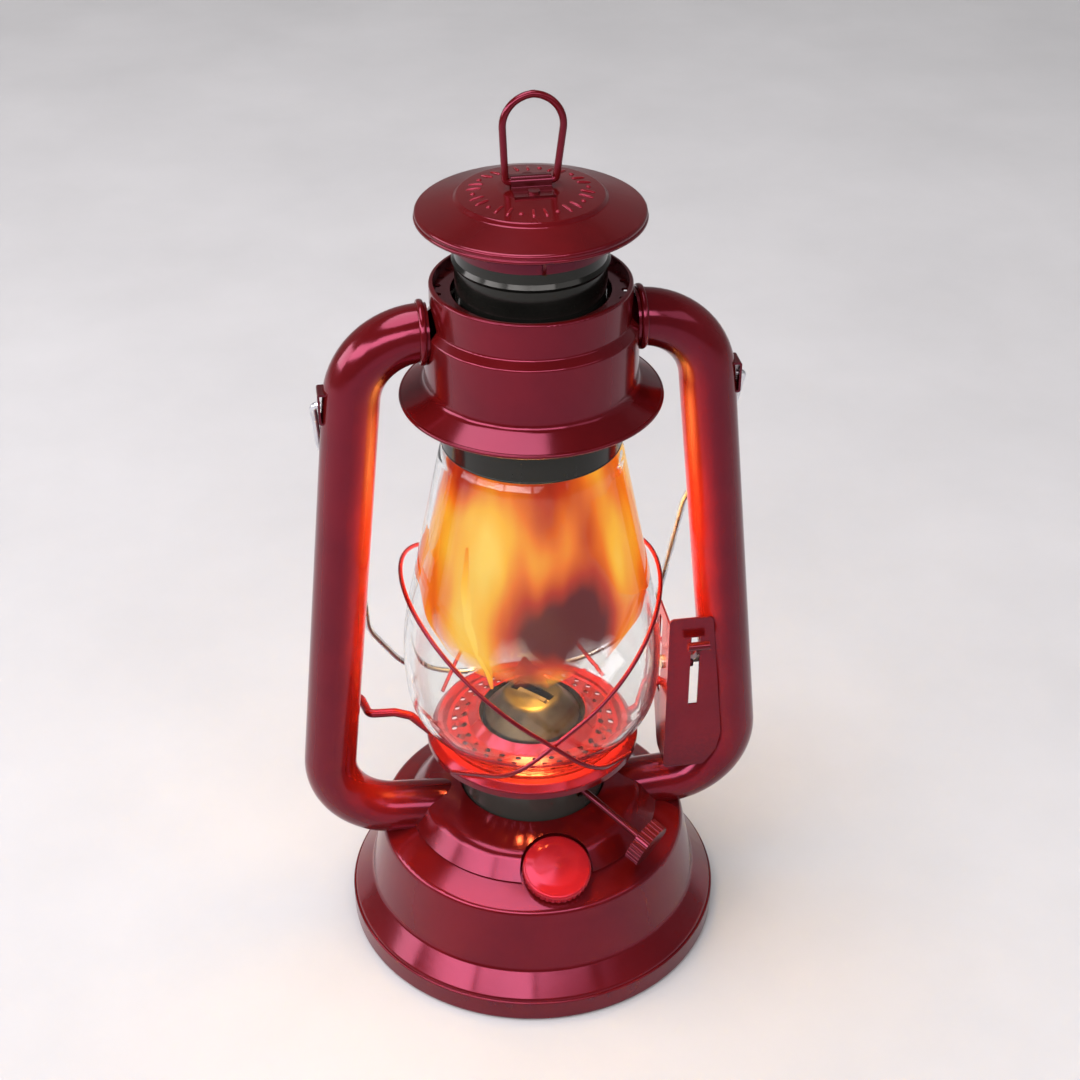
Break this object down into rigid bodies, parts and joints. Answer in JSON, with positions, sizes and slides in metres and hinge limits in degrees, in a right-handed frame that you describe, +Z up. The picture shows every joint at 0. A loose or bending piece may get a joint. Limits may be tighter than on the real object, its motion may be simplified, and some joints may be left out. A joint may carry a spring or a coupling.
{
  "type": "hurricane lantern",
  "caption": "Tubular oil lantern: round tank with a filler cap, two side tubes, glass globe in crossed guard wires, hooded chimney, hanging ring, carrying bail, lifting lever and wick knob.",
  "frame": {"origin": "middle of the tank's foot, on the surface that the lantern stands on", "axes": "+Z up through the chimney, the two side tubes along X with the lifting lever's tube at +X, and the filler cap towards -Y; the bail hangs at +Y"},
  "size_m": [0.1388, 0.1146, 0.2662],
  "materials": {
    "red_enamel": "gloss",
    "black_enamel": "gloss",
    "zinc_wire": "satin",
    "plated_steel": "satin",
    "burner_brass": "satin",
    "clear_glass": "clear",
    "wick_cotton": "woven",
    "cork_seal": "matte"
  },
  "bodies": {
    "frame": {"tank_shell": "red_enamel", "tank_bottom": "red_enamel", "filler_neck": "red_enamel", "tank_collar": "burner_brass", "air_chamber_dome": "red_enamel", "burner_chamber": "black_enamel", "tube_left": "red_enamel", "tube_right": "red_enamel", "hood_shell": "red_enamel", "hood_floor": "black_enamel", "air_inlet_ring": "red_enamel", "bail_ear_left": "red_enamel", "bail_ear_right": "red_enamel", "lift_bracket": "red_enamel", "lever_pin": "plated_steel", "burner_base": "burner_brass", "burner_gallery": "burner_brass", "burner_cone": "burner_brass", "wick_tube": "burner_brass", "chimney_spring": "plated_steel"},
    "globe_carrier": {"globe_plate": "red_enamel", "globe": "clear_glass", "guard_wire_inner": "red_enamel", "guard_wire_outer": "red_enamel", "carrier_arm_left": "red_enamel", "carrier_arm_right": "red_enamel"},
    "chimney": {"chimney_skirt": "black_enamel", "chimney_tube": "black_enamel", "cap_bracket": "red_enamel", "top_cap": "red_enamel", "ring_strap": "red_enamel", "strap_rivets": "red_enamel"},
    "lift_ring": {"lift_ring": "red_enamel"},
    "bail": {"bail": "zinc_wire"},
    "lift_lever": {"lift_lever": "red_enamel"},
    "wick_wheel": {"wick_knob": "red_enamel", "wick_shaft": "red_enamel", "spur_wheels": "burner_brass"},
    "wick": {"wick": "wick_cotton"},
    "cap_seal": {"cap_gasket": "cork_seal"},
    "fuel_cap": {"fuel_cap": "red_enamel"}
  },
  "joints": [
    {"name": "lever_press", "type": "hinge", "parent": "frame", "child": "lift_lever", "pos_m": [0.048, 0, 0.086], "axis": [1, 0, 0], "range_deg": [0, 72]},
    {"name": "globe_lift", "type": "slide", "parent": "frame", "child": "globe_carrier", "axis": [0, 0, 1], "range_m": [0, 0.01], "deforming": ["chimney_spring"]},
    {"name": "chimney_lift", "type": "slide", "parent": "globe_carrier", "child": "chimney", "axis": [0, 0, 1], "range_m": [0, 0.0084], "deforming": ["chimney_spring"]},
    {"name": "ring_tilt", "type": "hinge", "parent": "chimney", "child": "lift_ring", "pos_m": [0, 0, 0.24265], "axis": [1, 0, 0], "range_deg": [-85, 85]},
    {"name": "bail_swing", "type": "hinge", "parent": "frame", "child": "bail", "pos_m": [0, 0, 0.183], "axis": [1, 0, 0], "range_deg": [0, 320]},
    {"name": "wick_turn", "type": "hinge", "parent": "frame", "child": "wick_wheel", "pos_m": [-0.0028, -0.00272, 0.0626], "axis": [0.6552, -0.6737, -0.342], "range_deg": [-115, 57]},
    {"name": "wick_feed", "type": "slide", "parent": "frame", "child": "wick", "axis": [0, 0, 1], "range_m": [-0.006, 0.003]},
    {"name": "cap_rise", "type": "slide", "parent": "frame", "child": "cap_seal", "axis": [0, -0.401, 0.9161], "range_m": [0, 0.006]},
    {"name": "cap_turn", "type": "hinge", "parent": "cap_seal", "child": "fuel_cap", "pos_m": [0.0015, -0.0353, 0.03863], "axis": [0, -0.401, 0.9161], "range_deg": [0, 720]}
  ],
  "couplings": [
    {"joint": "lever_press", "follows": "globe_lift", "rad_per_m": 125.66},
    {"joint": "wick_feed", "follows": "wick_turn", "m_per_rad": 0.00282},
    {"joint": "cap_rise", "follows": "cap_turn", "m_per_rad": 0.00047746}
  ]
}
